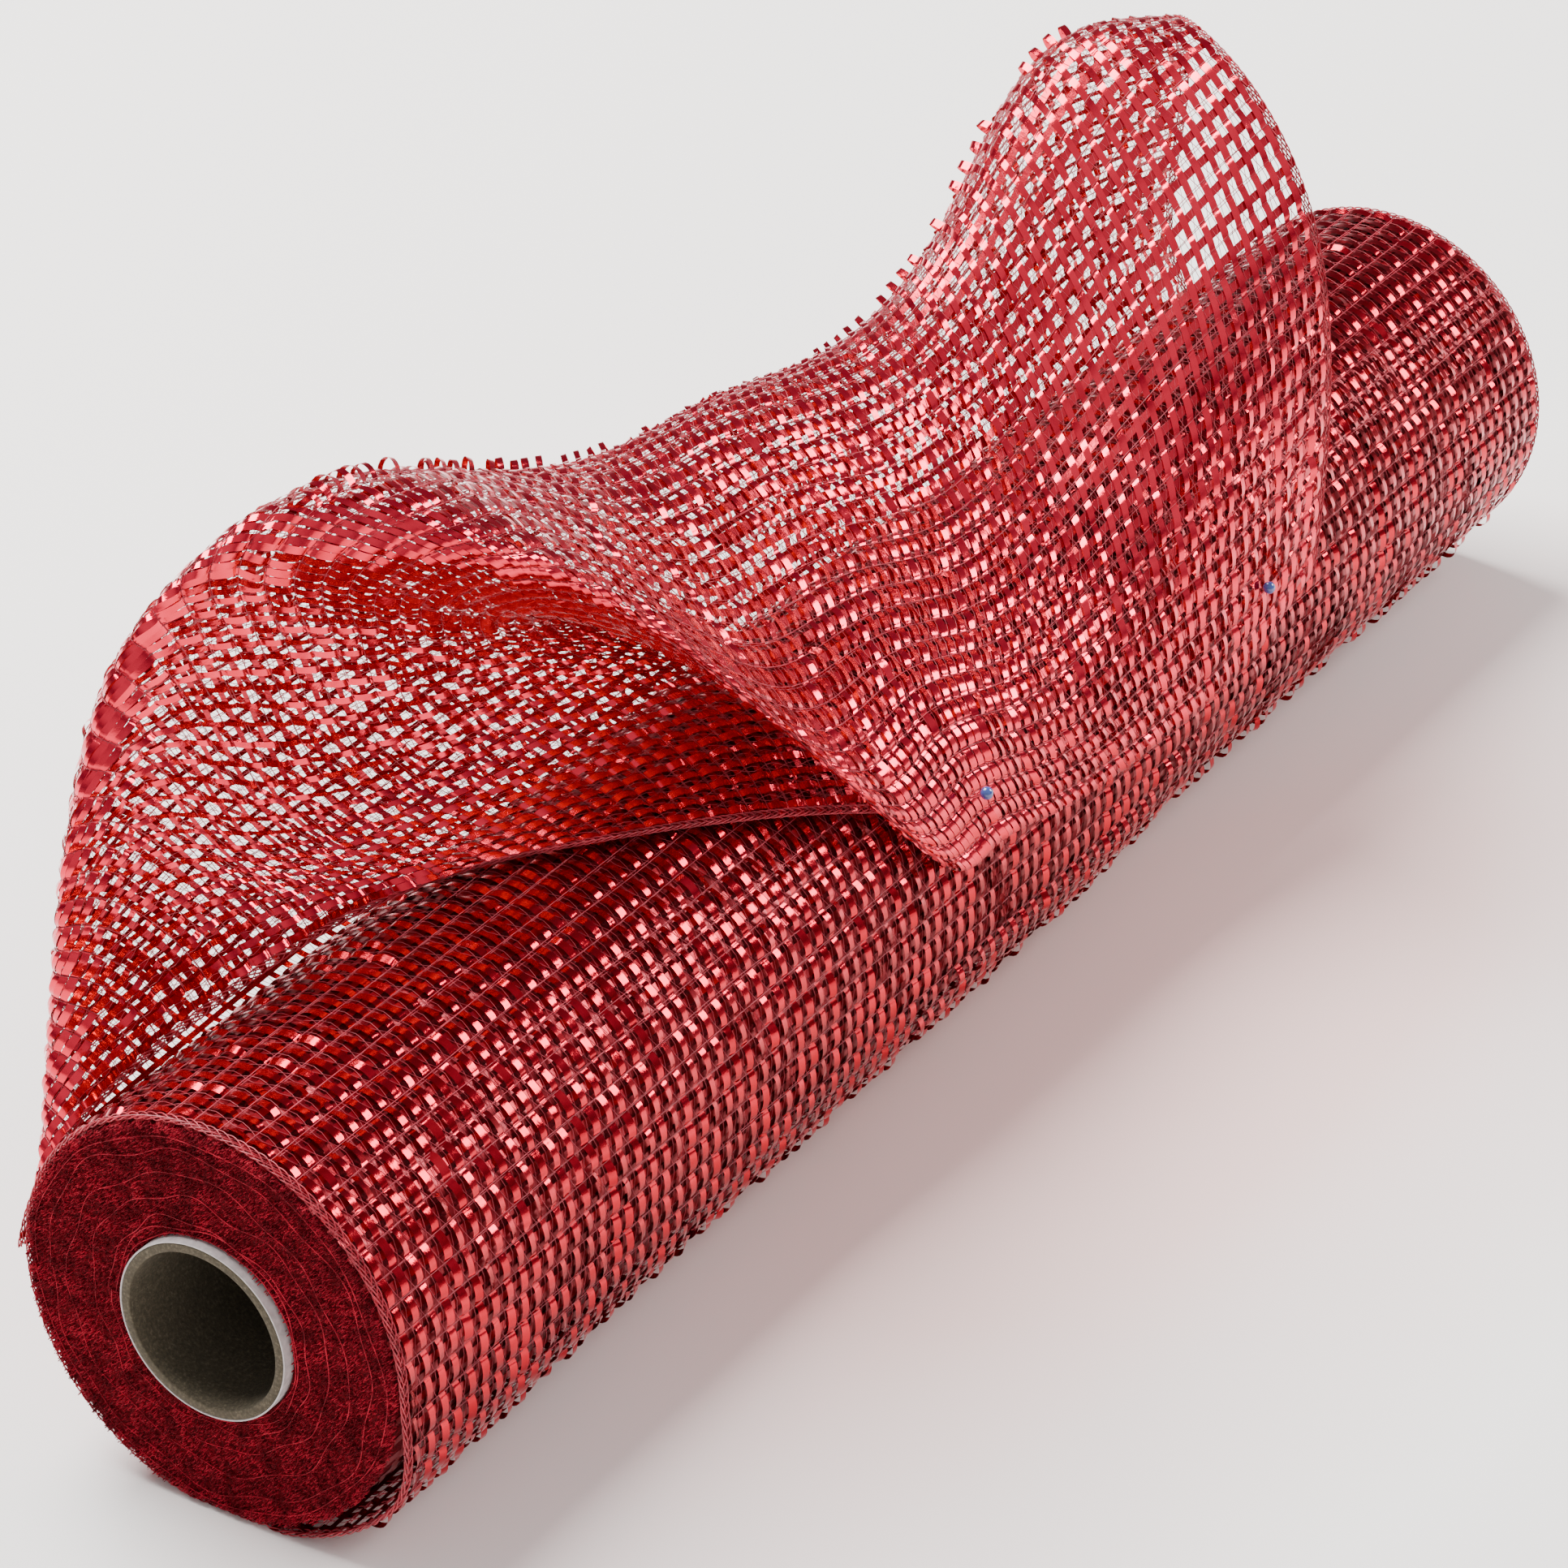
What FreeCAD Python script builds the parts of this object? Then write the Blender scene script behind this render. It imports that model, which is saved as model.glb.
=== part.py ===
"""Roll of metallic mesh cloth on a paper core, with its loose end pulled up into a canopy and pinned.

Frame, in millimetres: the origin is the middle of the core's axis. +X runs along the core, from the end that
the canopy overhangs to the bare end. +Z is up, and the loose end is pinned down on the -Y side.
"""
import FreeCAD, Part
import math
import os

Vector = FreeCAD.Vector

# Driving dimensions
CLOTH_WIDTH = 533.0         # selvedge to selvedge, a 21 inch mesh
BORE_RADIUS = 19.05         # inside of the core, for a 1.5 inch rod
BOARD_THICKNESS = 2.15      # grey spiral-wound board
WRAP_THICKNESS = 0.4        # pale outer ply of the core
CORE_PROUD = 3.0            # how far the core stands out of the mesh at each end
TAPE_THICKNESS = 0.2        # tape that holds the first turn to the core
TAPE_ARC = 50.0             # degrees of the core that the tape covers
TAPE_MARGIN = 20.0          # bare core between the tape and each end of the mesh
PACK_RADIUS = 47.8          # tightly wound mesh
TURN_RADIUS = 50.0          # outside of the last whole turn
TURN_THICKNESS = 1.8        # crimped ribbon and its picks
REST_DEPTH = 48.5           # core axis above the surface that the roll lies on
FOOT_SPREAD = 2.5           # how much further forward the last turn rests than a round one would
TURN_SELVEDGE = 2.5         # width of the dense edge of the last turn
SHEET_THICKNESS = 1.2       # loose mesh, over its crimps
SELVEDGE_THICKNESS = 1.8    # loose mesh, at its corded edges
SELVEDGE_WIDTH = 2.7
SELVEDGE_GAP = 1.2          # between a corded edge and the mesh beside it, over their crimps
SHEET_CLEAR_RADIUS = 51.8   # the loose mesh lies no closer to the core axis than this
ROWS_ALONG = 32             # stations from the roll to the cut end
ROW_SPACING = 12.0          # distance between stations across the cloth
GUIDE_SPACING = 10.0        # distance between the warp lines that the loose mesh is drawn through
PIN_RADIUS = 0.3
PIN_HOLE_RADIUS = 0.35
PIN_LENGTH = 32.0
HEAD_RADIUS = 1.6
HEAD_STANDOFF = 3.2         # head centre above the middle of the mesh

HALF_WIDTH = CLOTH_WIDTH / 2
BOARD_RADIUS = BORE_RADIUS + BOARD_THICKNESS
CORE_RADIUS = BOARD_RADIUS + WRAP_THICKNESS

# How far the last turn stands off the pack at its lower front: distance along the core, and bulge
TURN_BULGE = [(-HALF_WIDTH, 5.5), (-150.0, 3.5), (30.0, 3.0), (90.0, 0.0), (HALF_WIDTH, 0.0)]

# Where each pin goes through the mesh. It points straight at the core axis.
PIN_PLACES = {"pin_1": Vector(-36.6, -49.6, 30.0), "pin_2": Vector(100.0, -50.8, 22.6)}

# The loose mesh hangs in these lines, one for each distance across the cloth from the near selvedge.
# Each line follows one warp ribbon from the back of the roll, over the canopy, to the cut end.
# The mesh runs smoothly across from each line to the next, point by point.
WARP_LINES = {
    0: [(-266, 51.4, 0), (-259, 49, 16), (-240, 42, 31), (-205, 33, 41),
        (-170, 22, 47), (-136, -3, 51.5), (-91, -27, 44), (-51, -42, 30)],
    45: [(-222, 51.5, 1), (-240, 60, 30), (-242, 52, 60), (-223, 47, 77),
         (-194, 42, 67), (-151, 30, 58), (-80, 2, 60), (-38, -20, 50)],
    90: [(-176, 51.5, 3), (-207, 64, 36), (-236, 55, 88), (-217, 48, 110),
         (-188, 42, 104), (-145, 32, 90), (-98, 24, 76), (-48, 8, 60)],
    135: [(-131, 51.5, 3), (-165, 66, 44), (-210, 66, 94), (-212, 48, 131),
          (-189, 40, 131), (-157, 26, 115), (-110, 22, 90), (-58, 20, 68)],
    175: [(-91, 51.5, 3), (-125, 66, 46), (-174, 66, 102), (-181, 42, 143),
          (-170, 28, 139), (-151, 12, 125), (-106, 12, 90), (-62, 14, 70)],
    215: [(-51, 51.5, 3), (-78, 66, 46), (-124, 64, 98), (-143, 38, 137),
          (-144, 18, 134), (-133, 1, 118), (-96, 2, 83), (-60, 5, 67)],
    260: [(-6, 51.5, 3), (-24, 66, 44), (-66, 62, 88), (-99, 38, 117),
          (-107, 12, 112), (-106, -10, 96), (-95, -26, 75), (-66, -38, 42)],
    305: [(39, 51.5, 3), (28, 64, 40), (-14, 60, 76), (-55, 38, 101),
          (-62, 12, 90), (-65, -13, 69), (-67, -38, 48), (-45, -50, 14)],
    345: [(79, 51.5, 3), (70, 64, 38), (36, 60, 70), (-15, 36, 96),
          (-17, 10, 77), (-26, -16, 59), (-38, -40, 44), (-26, -49.5, 12)],
    400: [(134, 51.5, 3), (120, 63, 36), (88, 58, 62), (43, 35, 90),
          (30, 6, 73), (14, -22, 50), (-2, -44, 36), (10, -51, 6)],
    445: [(179, 51.5, 2), (160, 62, 38), (126, 57, 72), (89, 33, 105),
          (73, 0, 80), (54, -30, 54), (42, -46, 31), (50, -51.3, 3)],
    490: [(224, 51.5, 0), (206, 60, 38), (169, 52, 92), (127, 28, 139),
          (113, -8, 118), (97, -37, 84), (89, -49, 42), (89, -51.3, 3)],
    533: [(266, 51.5, -2), (250, 57, 32), (212, 34, 100), (160, 8, 142),
          (143, -18, 139), (138, -41, 110), (136, -50, 60), (131, -50.5, 13)],
}


def tube(inner, outer, length):
    """Round tube centred on the origin, along X."""
    start = Vector(-length / 2, 0, 0)
    axis = Vector(1, 0, 0)
    return Part.makeCylinder(outer, length, start, axis).cut(Part.makeCylinder(inner, length, start, axis))


def start_tape():
    """Strip of tape on the core, under the first turn."""
    length = CLOTH_WIDTH - 2 * TAPE_MARGIN
    start = Vector(-length / 2, 0, 0)
    axis = Vector(1, 0, 0)
    outer = Part.makeCylinder(CORE_RADIUS + TAPE_THICKNESS, length, start, axis, TAPE_ARC)
    return outer.cut(Part.makeCylinder(CORE_RADIUS, length, start, axis))


def round_with_flat(x, radius, rest, bulge=0.0, spread=0.0):
    """Outline across the roll: a circle on a flat foot. It may swell at its lower front."""
    foot = math.sqrt(radius ** 2 - rest ** 2)

    def on_circle(degrees, swell=0.0):
        angle = math.radians(degrees)
        reach = radius + swell
        return Vector(x, reach * math.cos(angle), reach * math.sin(angle))

    back_foot = Vector(x, foot, -rest)
    front_foot = Vector(x, -foot - spread, -rest)
    bulge_start = on_circle(180)
    return Part.Wire([
        Part.Arc(back_foot, on_circle(60), bulge_start).toShape(),
        Part.Arc(bulge_start, on_circle(214, bulge), front_foot).toShape(),
        Part.LineSegment(front_foot, back_foot).toShape(),
    ])


def bulge_at(x):
    """Bulge of the last turn at a distance along the core."""
    for (x0, b0), (x1, b1) in zip(TURN_BULGE, TURN_BULGE[1:]):
        if x <= x1:
            return b0 + (b1 - b0) * (x - x0) / (x1 - x0)
    return TURN_BULGE[-1][1]


def wound_mesh():
    """All the turns that lie tight on the core, with the end faces flush."""
    rest = REST_DEPTH - TURN_THICKNESS
    face = Part.Face(round_with_flat(-HALF_WIDTH, PACK_RADIUS, rest))
    start = Vector(-HALF_WIDTH, 0, 0)
    bore = Part.makeCylinder(CORE_RADIUS + TAPE_THICKNESS, CLOTH_WIDTH, start, Vector(1, 0, 0))
    return face.extrude(Vector(CLOTH_WIDTH, 0, 0)).cut(bore)


def turn_segment(start, end):
    """Part of the last whole turn between two places along the core."""
    stations = [start] + [x for x, _ in TURN_BULGE if start < x < end] + [end]
    inner_radius = TURN_RADIUS - TURN_THICKNESS
    inner_rest = REST_DEPTH - TURN_THICKNESS
    outer = [round_with_flat(x, TURN_RADIUS, REST_DEPTH, bulge_at(x), FOOT_SPREAD) for x in stations]
    inner = [round_with_flat(x, inner_radius, inner_rest, bulge_at(x), FOOT_SPREAD) for x in stations]
    return Part.makeLoft(outer, True, True).cut(Part.makeLoft(inner, True, True))


def spline(points, parameters=None):
    curve = Part.BSplineCurve()
    if parameters:
        curve.interpolate(Points=points, Parameters=parameters)
    else:
        curve.interpolate(Points=points)
    return curve


def cross_threads():
    """Curves across the cloth, one for each station from the roll to the cut end."""
    across = sorted(WARP_LINES)
    columns = zip(*(WARP_LINES[v] for v in across))
    knots = [float(v) for v in across]
    guides = [spline([Vector(*point) for point in column], knots) for column in columns]
    steps = math.ceil(CLOTH_WIDTH / GUIDE_SPACING)
    places = [CLOTH_WIDTH * step / steps for step in range(steps + 1)]
    lines = []
    for place in places:
        warp = spline([guide.value(place) for guide in guides])
        lines.append(warp.discretize(Number=ROWS_ALONG))
    return [spline([line[row] for line in lines], places) for row in range(ROWS_ALONG)]


def off_the_roll(point):
    """The point, pushed out so that the loose mesh lies on the roll and never in it."""
    reach = math.hypot(point.y, point.z)
    scale = max(1.0, SHEET_CLEAR_RADIUS / reach)
    return Vector(point.x, point.y * scale, point.z * scale)


def sheet_grid(threads, start, end, spacing):
    """Points on the loose mesh between two distances across the cloth."""
    steps = max(2, math.ceil((end - start) / spacing))
    places = [start + (end - start) * step / steps for step in range(steps + 1)]
    return [[off_the_roll(thread.value(place)) for thread in threads] for place in places]


def normals(grid):
    """Unit normals of a grid of points."""
    def difference(items, index):
        return items[min(index + 1, len(items) - 1)] - items[max(index - 1, 0)]

    rows = []
    for i, row in enumerate(grid):
        columns = [difference([line[j] for line in grid], i) for j in range(len(row))]
        rows.append([columns[j].cross(difference(row, j)).normalize() for j in range(len(row))])
    return rows


def rim(low_edge, high_edge):
    """Face that joins the two skins of a sheet along one edge."""
    surface = Part.BSplineSurface()
    surface.buildFromNSections([low_edge, high_edge])
    return surface.toShape()


def thick_sheet(grid, thickness):
    """Closed solid of one thickness around a grid of points."""
    skins = []
    directions = normals(grid)
    for side in (-thickness / 2, thickness / 2):
        surface = Part.BSplineSurface()
        surface.interpolate([[point + normal * side for point, normal in zip(line, aims)]
                             for line, aims in zip(grid, directions)])
        skins.append(surface)
    low, high = skins
    u0, u1, v0, v1 = low.bounds()
    rims = [rim(low.uIso(u0), high.uIso(u0)), rim(low.uIso(u1), high.uIso(u1)),
            rim(low.vIso(v0), high.vIso(v0)), rim(low.vIso(v1), high.vIso(v1))]
    shell = Part.makeShell([low.toShape(), high.toShape()] + rims)
    shell.sewShape()
    solid = Part.makeSolid(shell)
    if solid.Volume < 0:
        solid.reverse()
    return solid


def pin_axis(place):
    """Outward direction of a pin, away from the core axis."""
    return Vector(0, place.y, place.z).normalize()


def pin_shaft(place, radius, extra=0.0):
    outward = pin_axis(place)
    length = PIN_LENGTH + extra
    tip = place + outward * (HEAD_STANDOFF - PIN_LENGTH - extra)
    return Part.makeCylinder(radius, length, tip, outward)


def pin_head(place):
    centre = place + pin_axis(place) * HEAD_STANDOFF
    return Part.makeSphere(HEAD_RADIUS, centre).cut(pin_shaft(place, PIN_RADIUS))


def pierced(shape):
    """The shape with a hole for each pin that goes through it."""
    for place in PIN_PLACES.values():
        shape = shape.cut(pin_shaft(place, PIN_HOLE_RADIUS, extra=0.5))
    return shape


def build():
    near, far = -HALF_WIDTH, HALF_WIDTH
    core_length = CLOTH_WIDTH + 2 * CORE_PROUD
    threads = cross_threads()
    edge = SELVEDGE_WIDTH + SELVEDGE_GAP
    nodes = {
        "core_board": tube(BORE_RADIUS, BOARD_RADIUS, core_length),
        "core_wrap": tube(BOARD_RADIUS, CORE_RADIUS, core_length),
        "start_tape": start_tape(),
        "wound_mesh": pierced(wound_mesh()),
        "outer_turn": pierced(turn_segment(near + TURN_SELVEDGE, far - TURN_SELVEDGE)),
        "turn_selvedge_near": turn_segment(near, near + TURN_SELVEDGE),
        "turn_selvedge_far": turn_segment(far - TURN_SELVEDGE, far),
        "loose_sheet": pierced(thick_sheet(
            sheet_grid(threads, edge, CLOTH_WIDTH - edge, ROW_SPACING), SHEET_THICKNESS)),
        "loose_selvedge_near": thick_sheet(
            sheet_grid(threads, 0.0, SELVEDGE_WIDTH, ROW_SPACING), SELVEDGE_THICKNESS),
        "loose_selvedge_far": thick_sheet(
            sheet_grid(threads, CLOTH_WIDTH - SELVEDGE_WIDTH, CLOTH_WIDTH, ROW_SPACING), SELVEDGE_THICKNESS),
    }
    for name, place in PIN_PLACES.items():
        nodes[name + "_shaft"] = pin_shaft(place, PIN_RADIUS)
        nodes[name + "_head"] = pin_head(place)
    return nodes


def write(name, shape):
    """Save one piece, as a bare solid when it is one."""
    solids = shape.Solids
    print(name, shape.isValid(), len(solids), round(shape.BoundBox.DiagonalLength, 1))
    piece = solids[0] if len(solids) == 1 else shape
    piece.exportStep("parts/" + name + ".step")


os.makedirs("parts", exist_ok=True)
for name, shape in build().items():
    write(name, shape)
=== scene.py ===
"""Looks for a roll of red metallic mesh with its loose end drawn up into a canopy and pinned down.

Lengths are in millimetres until a mesh is made. The weave is real geometry: flat ribbons run along the cloth,
and foil strips and fine filament cross them.
"""
import math

import bpy
import numpy as np
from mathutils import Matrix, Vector


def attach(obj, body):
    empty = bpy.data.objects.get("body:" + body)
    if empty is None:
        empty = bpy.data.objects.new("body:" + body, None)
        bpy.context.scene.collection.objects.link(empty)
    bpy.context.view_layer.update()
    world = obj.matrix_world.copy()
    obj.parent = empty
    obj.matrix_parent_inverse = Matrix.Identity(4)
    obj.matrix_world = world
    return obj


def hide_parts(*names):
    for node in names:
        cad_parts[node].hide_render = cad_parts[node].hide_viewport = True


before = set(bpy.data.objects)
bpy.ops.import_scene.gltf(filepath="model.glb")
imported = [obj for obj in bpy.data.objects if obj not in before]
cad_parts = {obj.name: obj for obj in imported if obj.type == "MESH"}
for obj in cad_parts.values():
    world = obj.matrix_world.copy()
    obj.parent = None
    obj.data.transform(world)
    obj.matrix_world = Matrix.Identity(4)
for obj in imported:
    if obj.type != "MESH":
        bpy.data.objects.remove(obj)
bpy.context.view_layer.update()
rng = np.random.default_rng(7)

MM = 0.001
CLOTH_WIDTH = 533.0
HALF_WIDTH = CLOTH_WIDTH / 2
PACK_RADIUS = 47.8
CORE_RADIUS = 21.6
BOARD_RADIUS = 21.2
BORE_RADIUS = 19.05
CORE_PROUD = 3.0            # how far the core stands out of the winding
REST_DEPTH = 48.5           # core axis above the surface that the roll rests on
LOWEST = -48.42             # no thread goes into that surface
PACK_FOOT = -46.8           # bottom of the winding, inside the last turn
TURN_MID_RADIUS = 49.0      # middle of the last turn's weave
TURN_FOOT = -48.35          # and how low it lies
UNDER_RADIUS = 48.0         # middle of the turn under it
SHEET_CLEAR_RADIUS = 51.8   # the loose cloth comes no closer to the core's axis

RIBBON_PITCH = 5.0
RIBBONS = 106
FIRST_RIBBON = 4.0          # from the selvedge
TURN_PICKS = 46             # round the last turn, 6.8 mm apart
SHEET_PICKS = 47            # along the loose cloth
FLOAT_STEPS = 8             # pieces of ribbon between two picks
RIBBON_TILT = 0.16          # slope that a ribbon leans at, one way or the other
RIBBON_SINK = 0.25          # how far it dips under each pick
FILAMENT_RADIUS = 0.11

# Widths of the flat strips: distance across the cloth, and width. The foil is what crosses under the ribbons.
RIBBON_WIDTH = [(0.0, 2.05)]
FOIL_WIDTH = [(0.0, 2.0)]
LOOSE_RIBBON_WIDTH = [(110.0, 1.85), (185.0, 2.05)]
LOOSE_FOIL_WIDTH = [(140.0, 1.8), (230.0, 2.3)]

PIN_PLACES = {"pin_1": (-36.6, -49.6, 30.0), "pin_2": (100.0, -50.8, 22.6)}
HEAD_STANDOFF = 3.2         # head's centre above the middle of the cloth
HEAD_RADIUS = 1.6

# Threads that run round the winding's ends: mean radius, and how far they wander
END_THREADS = [(22.6, 0.3), (24.0, 0.5), (26.0, 0.8), (31.0, 1.2), (36.5, 1.5), (42.5, 1.2), (45.6, 0.5)]
END_THREAD_RADIUS = 0.15
FUZZ_COUNT = 15500          # loops of fuzz on each end
FUZZ_RADIUS = 0.13
RIM_SHARE = 0.14            # of them at the rim

# Studio, in metres. Each soft box has a name, place, width, height and power in watts.
WINDOW_DIRECTION = (-0.62, -0.45, 0.64)
FLOOR_SIZE = 14
SOFT_BOXES = [("overhead", (0.1, 1.2, 2.0), 1.6, 1.6, 172.0), ("side", (1.55, -1.15, 1.15), 0.9, 1.0, 46.0)]
LENS = 130.4
CAMERA_PLACE = (-1.0212, -0.6207, 0.6992)
CAMERA_AIM = (0.7289, 0.4620, -0.5053)

# The last turn stands off the pack at its lower front: distance along the core, and bulge
TURN_BULGE = [(-HALF_WIDTH, 5.5), (-150.0, 3.5), (30.0, 3.0), (90.0, 0.0), (HALF_WIDTH, 0.0)]
BULGE_START, BULGE_PEAK, BULGE_END = 180, 214, 256      # degrees round the roll

# The loose cloth hangs in these lines, one for each distance across the cloth from the near selvedge
WARP_LINES = {
    0: [(-266, 51.4, 0), (-259, 49, 16), (-240, 42, 31), (-205, 33, 41),
        (-170, 22, 47), (-136, -3, 51.5), (-91, -27, 44), (-51, -42, 30)],
    45: [(-222, 51.5, 1), (-240, 60, 30), (-242, 52, 60), (-223, 47, 77),
         (-194, 42, 67), (-151, 30, 58), (-80, 2, 60), (-38, -20, 50)],
    90: [(-176, 51.5, 3), (-207, 64, 36), (-236, 55, 88), (-217, 48, 110),
         (-188, 42, 104), (-145, 32, 90), (-98, 24, 76), (-48, 8, 60)],
    135: [(-131, 51.5, 3), (-165, 66, 44), (-210, 66, 94), (-212, 48, 131),
          (-189, 40, 131), (-157, 26, 115), (-110, 22, 90), (-58, 20, 68)],
    175: [(-91, 51.5, 3), (-125, 66, 46), (-174, 66, 102), (-181, 42, 143),
          (-170, 28, 139), (-151, 12, 125), (-106, 12, 90), (-62, 14, 70)],
    215: [(-51, 51.5, 3), (-78, 66, 46), (-124, 64, 98), (-143, 38, 137),
          (-144, 18, 134), (-133, 1, 118), (-96, 2, 83), (-60, 5, 67)],
    260: [(-6, 51.5, 3), (-24, 66, 44), (-66, 62, 88), (-99, 38, 117),
          (-107, 12, 112), (-106, -10, 96), (-95, -26, 75), (-66, -38, 42)],
    305: [(39, 51.5, 3), (28, 64, 40), (-14, 60, 76), (-55, 38, 101),
          (-62, 12, 90), (-65, -13, 69), (-67, -38, 48), (-45, -50, 14)],
    345: [(79, 51.5, 3), (70, 64, 38), (36, 60, 70), (-15, 36, 96),
          (-17, 10, 77), (-26, -16, 59), (-38, -40, 44), (-26, -49.5, 12)],
    400: [(134, 51.5, 3), (120, 63, 36), (88, 58, 62), (43, 35, 90),
          (30, 6, 73), (14, -22, 50), (-2, -44, 36), (10, -51, 6)],
    445: [(179, 51.5, 2), (160, 62, 38), (126, 57, 72), (89, 33, 105),
          (73, 0, 80), (54, -30, 54), (42, -46, 31), (50, -51.3, 3)],
    490: [(224, 51.5, 0), (206, 60, 38), (169, 52, 92), (127, 28, 139),
          (113, -8, 118), (97, -37, 84), (89, -49, 42), (89, -51.3, 3)],
    533: [(266, 51.5, -2), (250, 57, 32), (212, 34, 100), (160, 8, 142),
          (143, -18, 139), (138, -41, 110), (136, -50, 60), (131, -50.5, 13)],
}


# ---------------------------------------------------------------- materials

def new_material(name):
    material = bpy.data.materials.new(name)
    material.use_nodes = True
    nodes = material.node_tree.nodes
    return material, nodes, material.node_tree.links, nodes["Principled BSDF"]


def noise(nodes, links, coordinates, scale, detail=2.0, roughness=0.5):
    node = nodes.new("ShaderNodeTexNoise")
    node.inputs["Scale"].default_value = scale
    node.inputs["Detail"].default_value = detail
    node.inputs["Roughness"].default_value = roughness
    links.new(coordinates.outputs["Object"], node.inputs["Vector"])
    return node


def ramp(nodes, links, source, stops):
    node = nodes.new("ShaderNodeValToRGB")
    while len(node.color_ramp.elements) < len(stops):
        node.color_ramp.elements.new(0.5)
    for element, (position, color) in zip(node.color_ramp.elements, stops):
        element.position = position
        element.color = (*color, 1.0)
    links.new(source, node.inputs["Fac"])
    return node


def bump(nodes, links, height, shader, strength, distance):
    node = nodes.new("ShaderNodeBump")
    node.inputs["Strength"].default_value = strength
    node.inputs["Distance"].default_value = distance
    links.new(height, node.inputs["Height"])
    links.new(node.outputs["Normal"], shader.inputs["Normal"])


def foil_material(name, dark, light, metallic, roughness, coat):
    """Red metallised film: mirror-like, with the faint unevenness of rolled foil."""
    material, nodes, links, shader = new_material(name)
    coordinates = nodes.new("ShaderNodeTexCoord")
    patches = noise(nodes, links, coordinates, 90.0)
    color = ramp(nodes, links, patches.outputs["Fac"], [(0.3, dark), (0.7, light)])
    links.new(color.outputs["Color"], shader.inputs["Base Color"])
    grain = noise(nodes, links, coordinates, 900.0, detail=3.0)
    bump(nodes, links, grain.outputs["Fac"], shader, 0.25, 0.0002)
    shader.inputs["Metallic"].default_value = metallic
    shader.inputs["Roughness"].default_value = roughness
    shader.inputs["Coat Weight"].default_value = coat
    shader.inputs["Coat Roughness"].default_value = 0.08
    return material


def filament_material(name, dark, light, shine=0.5):
    """Fine red plastic thread."""
    material, nodes, links, shader = new_material(name)
    coordinates = nodes.new("ShaderNodeTexCoord")
    patches = noise(nodes, links, coordinates, 260.0)
    color = ramp(nodes, links, patches.outputs["Fac"], [(0.35, dark), (0.65, light)])
    links.new(color.outputs["Color"], shader.inputs["Base Color"])
    shader.inputs["Roughness"].default_value = 0.4
    shader.inputs["Specular IOR Level"].default_value = shine
    return material


def pack_material():
    """The winding under the last turns, painted near black as shade: its ribbons and threads lie too deep to
    make out.
    """
    material, nodes, links, shader = new_material("wound_weave_painted_shade")
    coordinates = nodes.new("ShaderNodeTexCoord")
    fuzz = noise(nodes, links, coordinates, 1100.0, detail=4.0, roughness=0.7)
    # Near-black red: painted shade of the winding seen through the gaps of the last turn.
    color = ramp(nodes, links, fuzz.outputs["Fac"],
                 [(0.35, (0.05, 0.0008, 0.003)), (0.55, (0.13, 0.002, 0.007)), (0.72, (0.26, 0.005, 0.014))])
    links.new(color.outputs["Color"], shader.inputs["Base Color"])
    bump(nodes, links, fuzz.outputs["Fac"], shader, 1.0, 0.0008)
    shader.inputs["Roughness"].default_value = 0.7
    shader.inputs["Specular IOR Level"].default_value = 0.06
    return material


def board_material():
    """Grey-brown paperboard with flecks of fibre."""
    material, nodes, links, shader = new_material("paperboard")
    coordinates = nodes.new("ShaderNodeTexCoord")
    fibre = noise(nodes, links, coordinates, 1400.0, detail=5.0, roughness=0.65)
    color = ramp(nodes, links, fibre.outputs["Fac"],
                 [(0.3, (0.040, 0.031, 0.017)), (0.55, (0.080, 0.063, 0.037)), (0.75, (0.17, 0.14, 0.09))])
    links.new(color.outputs["Color"], shader.inputs["Base Color"])
    bump(nodes, links, fibre.outputs["Fac"], shader, 0.5, 0.0003)
    shader.inputs["Roughness"].default_value = 0.9
    return material


def ply_material():
    """Smooth pale outer ply of the core."""
    material, nodes, links, shader = new_material("pale_ply")
    coordinates = nodes.new("ShaderNodeTexCoord")
    fibre = noise(nodes, links, coordinates, 600.0, detail=4.0)
    color = ramp(nodes, links, fibre.outputs["Fac"],
                 [(0.3, (0.40, 0.36, 0.355)), (0.7, (0.56, 0.51, 0.50))])
    links.new(color.outputs["Color"], shader.inputs["Base Color"])
    bump(nodes, links, fibre.outputs["Fac"], shader, 0.2, 0.0001)
    shader.inputs["Roughness"].default_value = 0.6
    return material


def steel_material():
    material, nodes, links, shader = new_material("bright_steel")
    coordinates = nodes.new("ShaderNodeTexCoord")
    drawn = noise(nodes, links, coordinates, 2000.0, detail=3.0)
    color = ramp(nodes, links, drawn.outputs["Fac"], [(0.3, (0.62, 0.62, 0.64)), (0.7, (0.78, 0.78, 0.80))])
    links.new(color.outputs["Color"], shader.inputs["Base Color"])
    bump(nodes, links, drawn.outputs["Fac"], shader, 0.1, 0.00005)
    shader.inputs["Metallic"].default_value = 1.0
    shader.inputs["Roughness"].default_value = 0.22
    return material


def bead_material():
    """Opaque blue glass of a pin's head."""
    material, nodes, links, shader = new_material("blue_glass_bead")
    coordinates = nodes.new("ShaderNodeTexCoord")
    swirl = noise(nodes, links, coordinates, 500.0, detail=2.0)
    color = ramp(nodes, links, swirl.outputs["Fac"], [(0.3, (0.025, 0.05, 0.22)), (0.7, (0.06, 0.10, 0.34))])
    links.new(color.outputs["Color"], shader.inputs["Base Color"])
    shader.inputs["Roughness"].default_value = 0.12
    shader.inputs["Coat Weight"].default_value = 1.0
    shader.inputs["Coat Roughness"].default_value = 0.04
    return material


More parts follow.
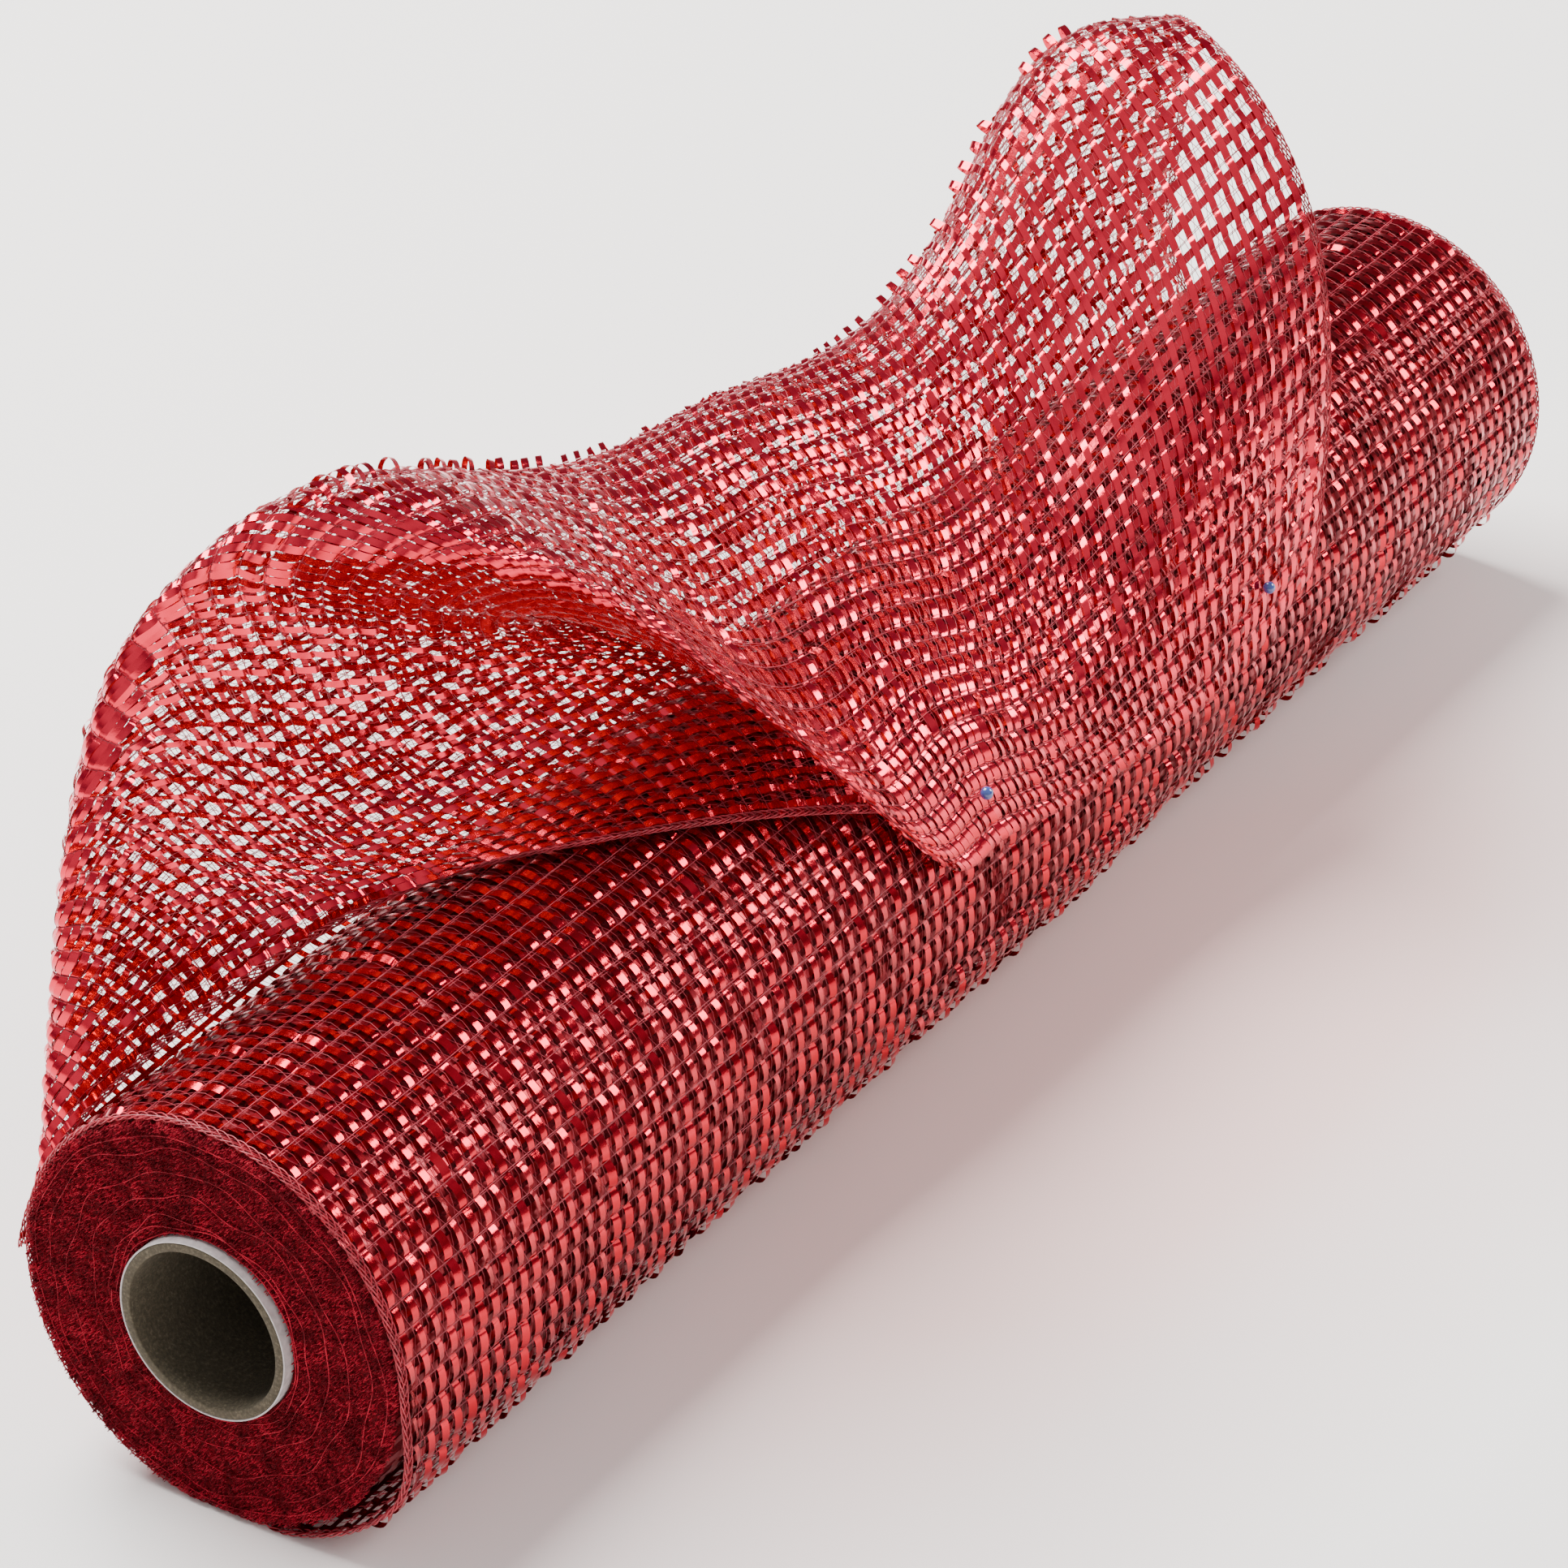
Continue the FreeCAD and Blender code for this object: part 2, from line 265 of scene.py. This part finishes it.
def tape_material():
    material, nodes, links, shader = new_material("start_tape")
    coordinates = nodes.new("ShaderNodeTexCoord")
    haze = noise(nodes, links, coordinates, 120.0)
    color = ramp(nodes, links, haze.outputs["Fac"], [(0.3, (0.72, 0.70, 0.62)), (0.7, (0.82, 0.80, 0.74))])
    links.new(color.outputs["Color"], shader.inputs["Base Color"])
    shader.inputs["Roughness"].default_value = 0.3
    return material


# The roll's ribbon and weft foil are darker copies of the loose cloth's foil: painted shade on the roll.
RIBBON = foil_material("ribbon_foil", (0.44, 0.006, 0.018), (0.62, 0.014, 0.034), 0.95, 0.15, coat=0.06)
FOIL = foil_material("weft_foil", (0.24, 0.003, 0.010), (0.38, 0.007, 0.020), 0.8, 0.28, coat=0.06)
# The turn under the last one is painted darker still: painted shade seen through the gaps of the last turn.
UNDER_FOIL_PAINTED_SHADE = foil_material("under_foil_painted_shade",
                          (0.20, 0.002, 0.008), (0.30, 0.005, 0.016), 0.6, 0.35, coat=0.05)
# The loose cloth's ribbon and weft foil are brighter copies of the roll's foil: painted light on the canopy.
LOOSE_RIBBON = foil_material("loose_ribbon_foil_painted_light",
                             (0.72, 0.017, 0.044), (0.88, 0.030, 0.068), 0.92, 0.16, coat=0.08)
LOOSE_FOIL = foil_material("loose_weft_foil_painted_light",
                           (0.44, 0.009, 0.025), (0.60, 0.016, 0.040), 0.8, 0.26, coat=0.06)
FILAMENT = filament_material("fine_filament", (0.32, 0.010, 0.026), (0.52, 0.045, 0.070))
SELVEDGE = filament_material("selvedge_thread", (0.28, 0.006, 0.018), (0.48, 0.020, 0.040))
FUZZ = filament_material("end_fuzz", (0.16, 0.003, 0.010), (0.54, 0.018, 0.042), shine=0.1)
PACK = pack_material()


# ---------------------------------------------------------------- mesh helpers

def make_piece(name, points, faces, material):
    """Mesh object from points in millimetres and four-cornered faces."""
    mesh = bpy.data.meshes.new(name)
    faces = np.asarray(faces, dtype=np.int32).reshape(-1, 4)
    mesh.vertices.add(len(points))
    mesh.vertices.foreach_set("co", (np.asarray(points, dtype=np.float32) * MM).ravel())
    mesh.loops.add(faces.size)
    mesh.loops.foreach_set("vertex_index", faces.ravel())
    mesh.polygons.add(len(faces))
    mesh.polygons.foreach_set("loop_start", np.arange(0, faces.size, 4, dtype=np.int32))
    mesh.polygons.foreach_set("use_smooth", np.ones(len(faces), dtype=bool))
    mesh.update(calc_edges=True)
    mesh.validate()
    mesh.materials.append(material)
    piece = bpy.data.objects.new(name, mesh)
    bpy.context.scene.collection.objects.link(piece)
    return piece


def strips(centres, sideways, width):
    """Flat strips. centres and sideways are (strip, station, 3), and width may vary along them."""
    count, stations, _ = centres.shape
    half = np.broadcast_to(np.asarray(width) / 2, (count, stations))[..., None]
    points = np.stack([centres - sideways * half, centres + sideways * half], axis=2)
    index = np.arange(count * stations * 2).reshape(count, stations, 2)
    faces = np.stack([index[:, :-1, 0], index[:, 1:, 0], index[:, 1:, 1], index[:, :-1, 1]], axis=-1)
    return points.reshape(-1, 3), faces.reshape(-1, 4)


def tubes(centres, sideways, outward, radius, sides=3):
    """Round threads. centres, sideways and outward are (thread, station, 3)."""
    count, stations, _ = centres.shape
    turn = np.arange(sides) * 2 * math.pi / sides
    ring = (sideways[:, :, None] * np.cos(turn)[:, None] + outward[:, :, None] * np.sin(turn)[:, None])
    points = centres[:, :, None] + ring * radius
    index = np.arange(count * stations * sides).reshape(count, stations, sides)
    after = np.roll(index, -1, axis=2)
    faces = np.stack([index[:, :-1], after[:, :-1], after[:, 1:], index[:, 1:]], axis=-1)
    return points.reshape(-1, 3), faces.reshape(-1, 4)


def joined(parts):
    """One mesh from several (points, faces) pairs."""
    points, faces, offset = [], [], 0
    for some_points, some_faces in parts:
        points.append(some_points)
        faces.append(some_faces + offset)
        offset += len(some_points)
    return np.concatenate(points), np.concatenate(faces)


def unit(vectors):
    return vectors / np.maximum(np.linalg.norm(vectors, axis=-1, keepdims=True), 1e-9)


# ---------------------------------------------------------------- cloth surfaces

class Cloth:
    """A smooth surface to lay threads on: v runs across the cloth in millimetres, u along it from 0 to 1."""

    def __init__(self, grid, facing):
        self.points = grid
        self.along = unit(np.gradient(grid, axis=1))
        across = unit(np.gradient(grid, axis=0))
        self.normal = unit(np.cross(across, self.along)) * facing
        self.across = unit(across)

    def sample(self, field, v, u):
        rows, columns = field.shape[:2]
        i = np.clip(v / CLOTH_WIDTH, 0, 1) * (rows - 1)
        j = np.clip(u, 0, 1) * (columns - 1)
        i0 = np.minimum(i.astype(int), rows - 2)
        j0 = np.minimum(j.astype(int), columns - 2)
        a = (i - i0)[..., None]
        b = (j - j0)[..., None]
        return ((1 - a) * (1 - b) * field[i0, j0] + a * (1 - b) * field[i0 + 1, j0]
                + (1 - a) * b * field[i0, j0 + 1] + a * b * field[i0 + 1, j0 + 1])

    def at(self, v, u, height=0.0):
        """Points off the cloth by a height, with the directions across, along and out of it."""
        v, u = np.broadcast_arrays(np.asarray(v, float), np.asarray(u, float))
        out = unit(self.sample(self.normal, v, u))
        lift = np.broadcast_to(np.asarray(height, float), v.shape)[..., None]
        return (self.sample(self.points, v, u) + out * lift, unit(self.sample(self.across, v, u)),
                unit(self.sample(self.along, v, u)), out)


def spline(knots, values, places):
    """Natural cubic spline through rows of values."""
    knots, values = np.asarray(knots, float), np.asarray(values, float)
    gaps = np.diff(knots)
    size = len(knots)
    matrix = np.eye(size)
    right = np.zeros_like(values)
    for i in range(1, size - 1):
        matrix[i, i - 1:i + 2] = gaps[i - 1], 2 * (gaps[i - 1] + gaps[i]), gaps[i]
        right[i] = 6 * ((values[i + 1] - values[i]) / gaps[i] - (values[i] - values[i - 1]) / gaps[i - 1])
    bend = np.linalg.solve(matrix, right.reshape(size, -1)).reshape(values.shape)
    k = np.clip(np.searchsorted(knots, places, side="right") - 1, 0, size - 2)
    shape = (-1,) + (1,) * (values.ndim - 1)
    gap = gaps[k].reshape(shape)
    before = (np.asarray(places) - knots[k]).reshape(shape)
    after = gap - before
    return (bend[k] * after ** 3 + bend[k + 1] * before ** 3) / (6 * gap) + (
        values[k] / gap - bend[k] * gap / 6) * after + (values[k + 1] / gap - bend[k + 1] * gap / 6) * before


def evenly_along(points, count):
    """Points at even distances on a smooth line through the given ones."""
    points = np.asarray(points, float)
    knots = np.concatenate([[0], np.cumsum(np.sqrt(np.linalg.norm(np.diff(points, axis=0), axis=1)))])
    fine = spline(knots, points, np.linspace(0, knots[-1], 600))
    length = np.concatenate([[0], np.cumsum(np.linalg.norm(np.diff(fine, axis=0), axis=1))])
    wanted = np.linspace(0, length[-1], count)
    return np.stack([np.interp(wanted, length, fine[:, k]) for k in range(3)], axis=1)


def loose_cloth():
    """The loose length, from the back of the roll over the canopy to its cut end."""
    across = sorted(WARP_LINES)
    guides = spline(across, [WARP_LINES[v] for v in across], np.linspace(0, CLOTH_WIDTH, 3 * RIBBONS + 1))
    grid = np.array([evenly_along(guide, 6 * SHEET_PICKS + 1) for guide in guides])
    reach = np.hypot(grid[..., 1], grid[..., 2])
    grid[..., 1:] *= np.maximum(1.0, SHEET_CLEAR_RADIUS / reach)[..., None]
    return Cloth(grid, facing=-1)


def turn_point(x, angle, radius):
    """A place on a turn of the roll, which is flat underneath and stands off at its lower front."""
    degrees = np.degrees(angle) % 360
    rise = np.clip((degrees - BULGE_START) / (BULGE_PEAK - BULGE_START), 0, 1)
    fade = np.clip((degrees - BULGE_PEAK) / (BULGE_END - BULGE_PEAK), 0, 1)
    swell = np.interp(x, *zip(*TURN_BULGE)) * np.sin(rise * math.pi / 2) ** 2 * (1 - 0.75 * fade)
    swell = np.where(degrees > BULGE_END, 0.0, swell)
    reach = radius + swell
    return np.stack([x, reach * np.cos(angle), np.maximum(reach * np.sin(angle), TURN_FOOT)], axis=-1)


def turn_cloth(radius, start_angle, swollen=True):
    """One whole turn of the roll."""
    v = np.linspace(0, CLOTH_WIDTH, RIBBONS + 1)[:, None]
    angle = start_angle + np.linspace(0, 2 * math.pi, 8 * TURN_PICKS + 1)[None, :]
    x, angle = np.broadcast_arrays(v - HALF_WIDTH, angle)
    if swollen:
        grid = turn_point(x, angle, radius)
    else:
        grid = np.stack([x, radius * np.cos(angle), np.maximum(radius * np.sin(angle), PACK_FOOT)], -1)
    return Cloth(grid, facing=-1)


# ---------------------------------------------------------------- weave

def drift(count, stations, scale, waves=5):
    """Slow random wander for each of count threads, over its stations."""
    phase = rng.random((count, waves)) * 2 * math.pi
    size = rng.normal(size=(count, waves)) * scale / math.sqrt(waves)
    rate = 1 + np.arange(waves) * 1.7
    along = np.linspace(0, 2 * math.pi, stations)
    return (size[:, :, None] * np.sin(rate[None, :, None] * along + phase[:, :, None])).sum(1)


def ribbons(cloth, picks, rise, width, first=FIRST_RIBBON, steps=FLOAT_STEPS):
    """Flat ribbons along the cloth. rise is (ribbon, float): how high each float arches between two picks."""
    count = len(rise)
    stations = picks * steps + 1
    t = np.arange(stations) / steps
    v = first + RIBBON_PITCH * np.arange(count)[:, None] + drift(count, stations, 0.22)
    u = np.broadcast_to(t / picks, v.shape)
    place = np.minimum(t.astype(int), picks - 1)
    phase = t - place
    arch = np.sin(math.pi * phase) ** np.where(rise[:, place] > 1.2, 0.75, 0.6)
    height = -RIBBON_SINK + (rise[:, place] + RIBBON_SINK) * arch
    centre, across, along, out = cloth.at(v, u, height)
    lean = RIBBON_TILT * (drift(count, stations, 1.0) + rng.normal(size=(count, picks))[:, place] * 0.7)
    side = unit(across + out * lean[..., None])
    return strips(centre, side, np.interp(v, *zip(*width)) * (1 + 0.03 * rng.normal(size=(count, 1))))


def picks_of_foil(cloth, picks, width, height=-0.02):
    """Flat strips of foil across the cloth, one in the middle of each float."""
    stations = 2 * RIBBONS + 1
    v = np.linspace(0, CLOTH_WIDTH, stations)[None, :]
    u = (np.arange(picks)[:, None] + 0.5) / picks + drift(picks, stations, 0.0012)
    wave = 0.05 * np.cos(2 * math.pi * (v - FIRST_RIBBON) / RIBBON_PITCH)
    centre, across, along, out = cloth.at(v + 0 * u, u, height + wave)
    lean = 0.10 * drift(picks, stations, 1.0, waves=9)
    return strips(centre, unit(along + out * lean[..., None]), np.interp(v, *zip(*width)))


def picks_of_filament(cloth, picks, phase, height, wave):
    """Fine threads across the cloth. They ride over the ribbons and dip between them."""
    stations = 2 * RIBBONS + 1
    v = np.linspace(0, CLOTH_WIDTH, stations)[None, :]
    u = (np.arange(picks)[:, None] + phase) / picks + drift(picks, stations, 0.0010)
    bob = wave * np.cos(2 * math.pi * (v - FIRST_RIBBON) / RIBBON_PITCH)
    centre, across, along, out = cloth.at(v + 0 * u, u, height + bob)
    return tubes(centre, along, out, FILAMENT_RADIUS)


def crossing_filaments(cloth, picks, side):
    """Fine threads along the gaps between ribbons. The two in a gap change sides at each pick."""
    steps = 3
    count = RIBBONS - 1
    stations = picks * steps + 1
    t = np.arange(stations) / steps
    sway = side * 0.95 * np.sin(math.pi * (t + 0.2))
    v = FIRST_RIBBON + RIBBON_PITCH * (np.arange(count)[:, None] + 0.5) + sway + drift(count, stations, 0.15)
    u = np.broadcast_to(t / picks, v.shape)
    height = side * 0.10 * np.cos(math.pi * t)
    centre, across, along, out = cloth.at(v, u, height)
    return tubes(centre, across, out, FILAMENT_RADIUS * 0.9)


def selvedge_cord(cloth, picks, v, threads=6, half_width=1.15, radius=0.2):
    """Edge band: fine plied threads that braid from side to side of it."""
    stations = picks * 8 + 1
    t = np.arange(stations) / 8
    turn = 2 * math.pi * (t[None, :] / 2.4 + np.arange(threads)[:, None] / threads)
    u = np.broadcast_to(t / picks, (threads, stations))
    centre, across, along, out = cloth.at(v + half_width * np.cos(turn), u, 0.38 * np.sin(2 * turn))
    return tubes(centre, across, out, radius, sides=4)


# ---------------------------------------------------------------- assembly

def float_rise(count, picks, base, spread, popped, popped_rise):
    """How high each float arches: mostly alike, with a few that have popped up."""
    rise = base + spread * rng.normal(size=(count, picks))
    chosen = rng.random((count, picks)) < popped
    rise[chosen] = popped_rise * (0.6 + 0.6 * rng.random(chosen.sum()))
    return np.clip(rise, 0.15, 3.2)


def turn_rise():
    """Floats of the last turn. Along its lower front they have worked loose into small loops."""
    rise = float_rise(RIBBONS, TURN_PICKS, 0.72, 0.10, 0.02, 1.3)
    angle = (np.arange(TURN_PICKS) + 0.5) * 360 / TURN_PICKS
    loose_row = np.argmin(np.abs(angle - 226))
    looped = rng.random(RIBBONS) < 0.75
    rise[looped, loose_row] = 1.9 + 0.9 * rng.random(looped.sum())
    x = FIRST_RIBBON + RIBBON_PITCH * np.arange(RIBBONS) - HALF_WIDTH
    wandering = np.interp(x, [-60, -20, 30, 75], [206, 198, 203, 190])
    row = np.abs(angle[None, :] - wandering[:, None]).argmin(1)
    inside = (x > -60) & (x < 75)
    rise[np.flatnonzero(inside), row[inside]] = 1.5 + 0.8 * rng.random(inside.sum())
    return rise


def sheet_rise(cloth):
    """Floats of the loose cloth. At its crest each one buckles into an open loop."""
    rise = float_rise(RIBBONS, SHEET_PICKS, 0.60, 0.10, 0.012, 1.3)
    v = FIRST_RIBBON + RIBBON_PITCH * np.arange(RIBBONS)[:, None]
    u = (np.arange(SHEET_PICKS)[None, :] + 0.5) / SHEET_PICKS
    points, _, _, _ = cloth.at(v + 0 * u, u + 0 * v)
    crest = (points @ (0.43, 0.27, 0.86)).argmax(1)
    for ribbon in range(18, RIBBONS - 6):
        if rng.random() < 0.8:
            rise[ribbon, crest[ribbon]] = 2.3 + 0.9 * rng.random()
    return rise


def cloth_piece(name, parts, material, replaced=()):
    """Piece of the roll's cloth, made of several sets of threads."""
    points, faces = joined(parts)
    points[:, 2] = np.maximum(points[:, 2], LOWEST)
    piece = make_piece(name, points, faces, material)
    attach(piece, "roll")
    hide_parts(*replaced)
    return piece


def filaments(cloth, picks, where):
    """The fine threads of one stretch of cloth: across it, then the two sets along it."""
    across = [picks_of_filament(cloth, picks, 0.0, 0.06, 0.10),
              picks_of_filament(cloth, picks, 0.04, -0.16, -0.06)]
    return [
        cloth_piece(where + "_picks", across, FILAMENT),
        cloth_piece(where + "_filament_a", [crossing_filaments(cloth, picks, 1)], FILAMENT),
        cloth_piece(where + "_filament_b", [crossing_filaments(cloth, picks, -1)], FILAMENT),
    ]


def edges(cloth, picks, where, nodes):
    """Both selvedges of one stretch of cloth, in place of the CAD nodes of that name."""
    return [cloth_piece(where + "_edge_" + side, [selvedge_cord(cloth, picks, v)], SELVEDGE,
                        [nodes + side])
            for side, v in (("near", 1.3), ("far", CLOTH_WIDTH - 1.3))]


def build_roll():
    last = turn_cloth(TURN_MID_RADIUS, 0.0)
    under = turn_cloth(UNDER_RADIUS, 0.07, swollen=False)
    warp = ribbons(last, TURN_PICKS, turn_rise(), RIBBON_WIDTH)
    cloth_piece("turn_ribbons", [warp], RIBBON, ["outer_turn"])
    cloth_piece("turn_foil", [picks_of_foil(last, TURN_PICKS, FOIL_WIDTH, height=-0.25)], FOIL)
    filaments(last, TURN_PICKS, "turn")
    quiet = float_rise(RIBBONS - 1, TURN_PICKS, 0.30, 0.06, 0.0, 0.0)
    warp = ribbons(under, TURN_PICKS, quiet, RIBBON_WIDTH, first=6.2, steps=4)
    # Painted shade: the turn under the last one gets the darkest foil.
    cloth_piece("under_ribbons", [warp], UNDER_FOIL_PAINTED_SHADE)
    cloth_piece("under_foil_painted_shade", [picks_of_foil(under, TURN_PICKS, FOIL_WIDTH)], UNDER_FOIL_PAINTED_SHADE)
    edges(last, TURN_PICKS, "turn", "turn_selvedge_")


def build_loose_cloth():
    cloth = loose_cloth()
    woven = [ribbons(cloth, SHEET_PICKS, sheet_rise(cloth), LOOSE_RIBBON_WIDTH),
             picks_of_foil(cloth, SHEET_PICKS, LOOSE_FOIL_WIDTH)]
    points, faces = joined(woven)
    net = make_piece("loose_net", points, faces, LOOSE_RIBBON)
    first_foil = len(woven[0][1])
    net.data.materials.append(LOOSE_FOIL)
    net.data.polygons.foreach_set("material_index", (np.arange(len(faces)) >= first_foil).astype(np.int32))
    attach(net, "roll")
    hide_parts("loose_sheet")
    on_it = filaments(cloth, SHEET_PICKS, "loose") + edges(cloth, SHEET_PICKS, "loose", "loose_selvedge_")


def end_face(name, side):
    """The winding's end: dense short fuzz, thickest at the rim, and a few threads that wander round it."""
    around = np.linspace(0, 2 * math.pi, 260)
    inmost, outmost = CORE_RADIUS + 0.4, PACK_RADIUS - 0.3
    lines = []
    for start, size in END_THREADS:
        radius = np.clip(start + drift(1, 260, size, waves=7) + 0 * around, inmost, outmost)
        lines.append(edge_line(side, around, radius))
    count = FUZZ_COUNT
    inner = np.sqrt(rng.uniform(inmost ** 2, PACK_RADIUS ** 2, count))
    where = np.where(rng.random(count) < RIM_SHARE, rng.uniform(46.2, 48.4, count), inner)
    around = rng.uniform(0, 2 * math.pi, count)
    heading = rng.uniform(0, 2 * math.pi, count)
    span = rng.uniform(0.4, 1.0, count)
    t = np.linspace(-0.5, 0.5, 3)
    y = where * np.cos(around)
    z = where * np.sin(around)
    px = side * (HALF_WIDTH - 0.1 + (0.25 - t ** 2)[None, :] * 4 * rng.uniform(0.4, 1.7, count)[:, None])
    py = y[:, None] + t * (span * np.cos(heading))[:, None]
    pz = np.maximum(z[:, None] + t * (span * np.sin(heading))[:, None], PACK_FOOT - 0.1)
    centre = np.stack([px, py, pz], -1)
    sideways = np.stack([0 * py, -np.sin(heading)[:, None] + 0 * py, np.cos(heading)[:, None] + 0 * py], -1)
    out = np.stack([np.full(py.shape, float(side)), 0 * py, 0 * py], -1)
    return cloth_piece(name, lines + [tubes(centre, sideways, out, FUZZ_RADIUS)], FUZZ)


def edge_line(side, angle, radius):
    """One thread that runs round the winding's end, 0.8 mm proud of it."""
    out = np.stack([np.full(radius.shape, float(side)), 0 * radius, 0 * radius], -1)
    radial = np.stack([0 * radius, np.cos(angle) + 0 * radius, np.sin(angle) + 0 * radius], -1)
    centre = radial * radius[..., None] + out * (HALF_WIDTH + 1.1 - 0.3)
    centre[..., 2] = np.maximum(centre[..., 2], PACK_FOOT - 0.1)
    return tubes(centre, radial, out, END_THREAD_RADIUS)


def lathe(name, profile, material, node, segments=128):
    """Ring turned about the core's axis from a closed outline of (along, radius)."""
    along, radius = np.array(profile, float).T
    angle = np.arange(segments) * 2 * math.pi / segments
    points = np.stack([along[None, :] + 0 * angle[:, None], radius[None, :] * np.cos(angle)[:, None],
                       radius[None, :] * np.sin(angle)[:, None]], -1)
    index = np.arange(points.shape[0] * points.shape[1]).reshape(points.shape[:2])
    after = np.roll(index, -1, axis=0)
    faces = np.stack([index, np.roll(index, -1, axis=1), np.roll(after, -1, axis=1), after], -1)
    piece = make_piece(name, points.reshape(-1, 3), faces.reshape(-1, 4), material)
    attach(piece, "roll")
    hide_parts(node)
    return piece


def rounded_ring(inner, outer, half, lip):
    """Outline of a tube wall with softened lips."""
    corners = []
    for x, sign in ((-half, 1), (half, -1)):
        pair = [(x, inner + lip), (x + sign * 0.3 * lip, inner + 0.3 * lip), (x + sign * lip, inner)]
        far = [(x + sign * lip, outer), (x + sign * 0.3 * lip, outer - 0.3 * lip), (x, outer - lip)]
        corners.append((pair, far))
    (near_in, near_out), (far_in, far_out) = corners
    stretch = np.linspace(-half + 4, half - 4, 12)
    return (near_in + [(x, inner) for x in stretch] + far_in[::-1] + far_out[::-1]
            + [(x, outer) for x in stretch[::-1]] + near_out)


def build_core():
    half = HALF_WIDTH + CORE_PROUD
    board = rounded_ring(BORE_RADIUS, BOARD_RADIUS, half, 0.3)
    lathe("core_tube", board, board_material(), "core_board")
    ply = rounded_ring(BOARD_RADIUS, CORE_RADIUS, half, 0.12)
    lathe("core_ply", ply, ply_material(), "core_wrap")
    finish_node("start_tape", tape_material())
    finish_node("wound_mesh", PACK)


def finish_node(name, material):
    """Give a CAD node that still shows its procedural material."""
    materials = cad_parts[name].data.materials
    materials.clear()
    materials.append(material)


def build_pins():
    steel = steel_material()
    bead = bead_material()
    for name, place in PIN_PLACES.items():
        finish_node(name + "_shaft", steel)
        outward = Vector((0, place[1], place[2])).normalized()
        centre = Vector(place) + outward * HEAD_STANDOFF
        bpy.ops.mesh.primitive_uv_sphere_add(segments=48, ring_count=32, radius=HEAD_RADIUS * MM,
                                             location=centre * MM)
        head = bpy.context.object
        head.name = name + "_bead"
        head.rotation_euler = outward.to_track_quat("Z", "Y").to_euler()
        for vertex in head.data.vertices:
            vertex.co.z *= 0.96
        bpy.ops.object.shade_smooth()
        head.data.materials.append(bead)
        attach(head, name)
        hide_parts(name + "_head")


# ---------------------------------------------------------------- studio

def room():
    """Plain world: bright where the window would be, dark opposite, and a pale backdrop at the horizon."""
    world = bpy.data.worlds.new("studio")
    bpy.context.scene.world = world
    world.use_nodes = True
    nodes, links = world.node_tree.nodes, world.node_tree.links
    direction = nodes.new("ShaderNodeTexCoord")
    facing = nodes.new("ShaderNodeVectorMath")
    facing.operation = "DOT_PRODUCT"
    facing.inputs[1].default_value = WINDOW_DIRECTION
    links.new(direction.outputs["Generated"], facing.inputs[0])
    walls = ramp(nodes, links, facing.outputs["Value"],
                 [(0.0, (0.09, 0.09, 0.10)), (0.35, (0.20, 0.20, 0.21)), (0.9, (0.90, 0.90, 0.92))])
    axes = nodes.new("ShaderNodeSeparateXYZ")
    links.new(direction.outputs["Generated"], axes.inputs["Vector"])
    backdrop = ramp(nodes, links, axes.outputs["Z"], [(0.10, (0.55, 0.55, 0.55)), (0.28, (0.0, 0.0, 0.0))])
    brighter = nodes.new("ShaderNodeVectorMath")
    brighter.operation = "MAXIMUM"
    links.new(walls.outputs["Color"], brighter.inputs[0])
    links.new(backdrop.outputs["Color"], brighter.inputs[1])
    links.new(brighter.outputs["Vector"], nodes["Background"].inputs["Color"])
    nodes["Background"].inputs["Strength"].default_value = 0.9


def floor():
    """Pale floor with painted red bounce light and a painted shadow in an oval where the roll's red light
    falls on it.
    """
    bpy.ops.mesh.primitive_plane_add(size=FLOOR_SIZE, location=(0, 0, -REST_DEPTH * MM))
    plane = bpy.context.object
    plane.name = "floor"
    material, nodes, links, shader = new_material("pale_floor_painted_bounce")
    place = nodes.new("ShaderNodeTexCoord")
    oval = nodes.new("ShaderNodeMapping")
    oval.inputs["Location"].default_value = (0.0, 0.19, 0.0)
    oval.inputs["Scale"].default_value = (0.9, 2.4, 0.0)
    links.new(place.outputs["Object"], oval.inputs["Vector"])
    distance = nodes.new("ShaderNodeVectorMath")
    distance.operation = "LENGTH"
    links.new(oval.outputs["Vector"], distance.inputs[0])
    # Painted bounce light and painted shadow: redder and darker close to the roll, pale further out.
    shade = ramp(nodes, links, distance.outputs["Value"],
                 [(0.05, (0.86, 0.60, 0.56)), (0.12, (0.85, 0.62, 0.58)), (0.20, (0.85, 0.73, 0.70)),
                  (0.34, (0.97, 0.93, 0.895))])
    links.new(shade.outputs["Color"], shader.inputs["Base Color"])
    shader.inputs["Roughness"].default_value = 0.7
    plane.data.materials.append(material)


def lights():
    """Soft boxes, each aimed at the middle of the roll."""
    for name, place, width, height, power in SOFT_BOXES:
        light = bpy.data.lights.new(name, "AREA")
        light.shape = "RECTANGLE"
        light.size = width
        light.size_y = height
        light.energy = power
        lamp = bpy.data.objects.new(name, light)
        lamp.location = place
        lamp.rotation_euler = (-Vector(place)).to_track_quat("-Z", "Y").to_euler()
        bpy.context.scene.collection.objects.link(lamp)


def camera():
    data = bpy.data.cameras.new("camera")
    data.lens = LENS
    data.sensor_width = 36.0
    data.clip_end = 50.0
    eye = bpy.data.objects.new("camera", data)
    eye.location = CAMERA_PLACE
    eye.rotation_euler = Vector(CAMERA_AIM).to_track_quat("-Z", "Y").to_euler()
    bpy.context.scene.collection.objects.link(eye)
    bpy.context.scene.camera = eye


camera()
room()
floor()
lights()
build_core()
build_pins()
build_roll()
build_loose_cloth()
end_face("near_end_fuzz", -1)
end_face("far_end_fuzz", 1)
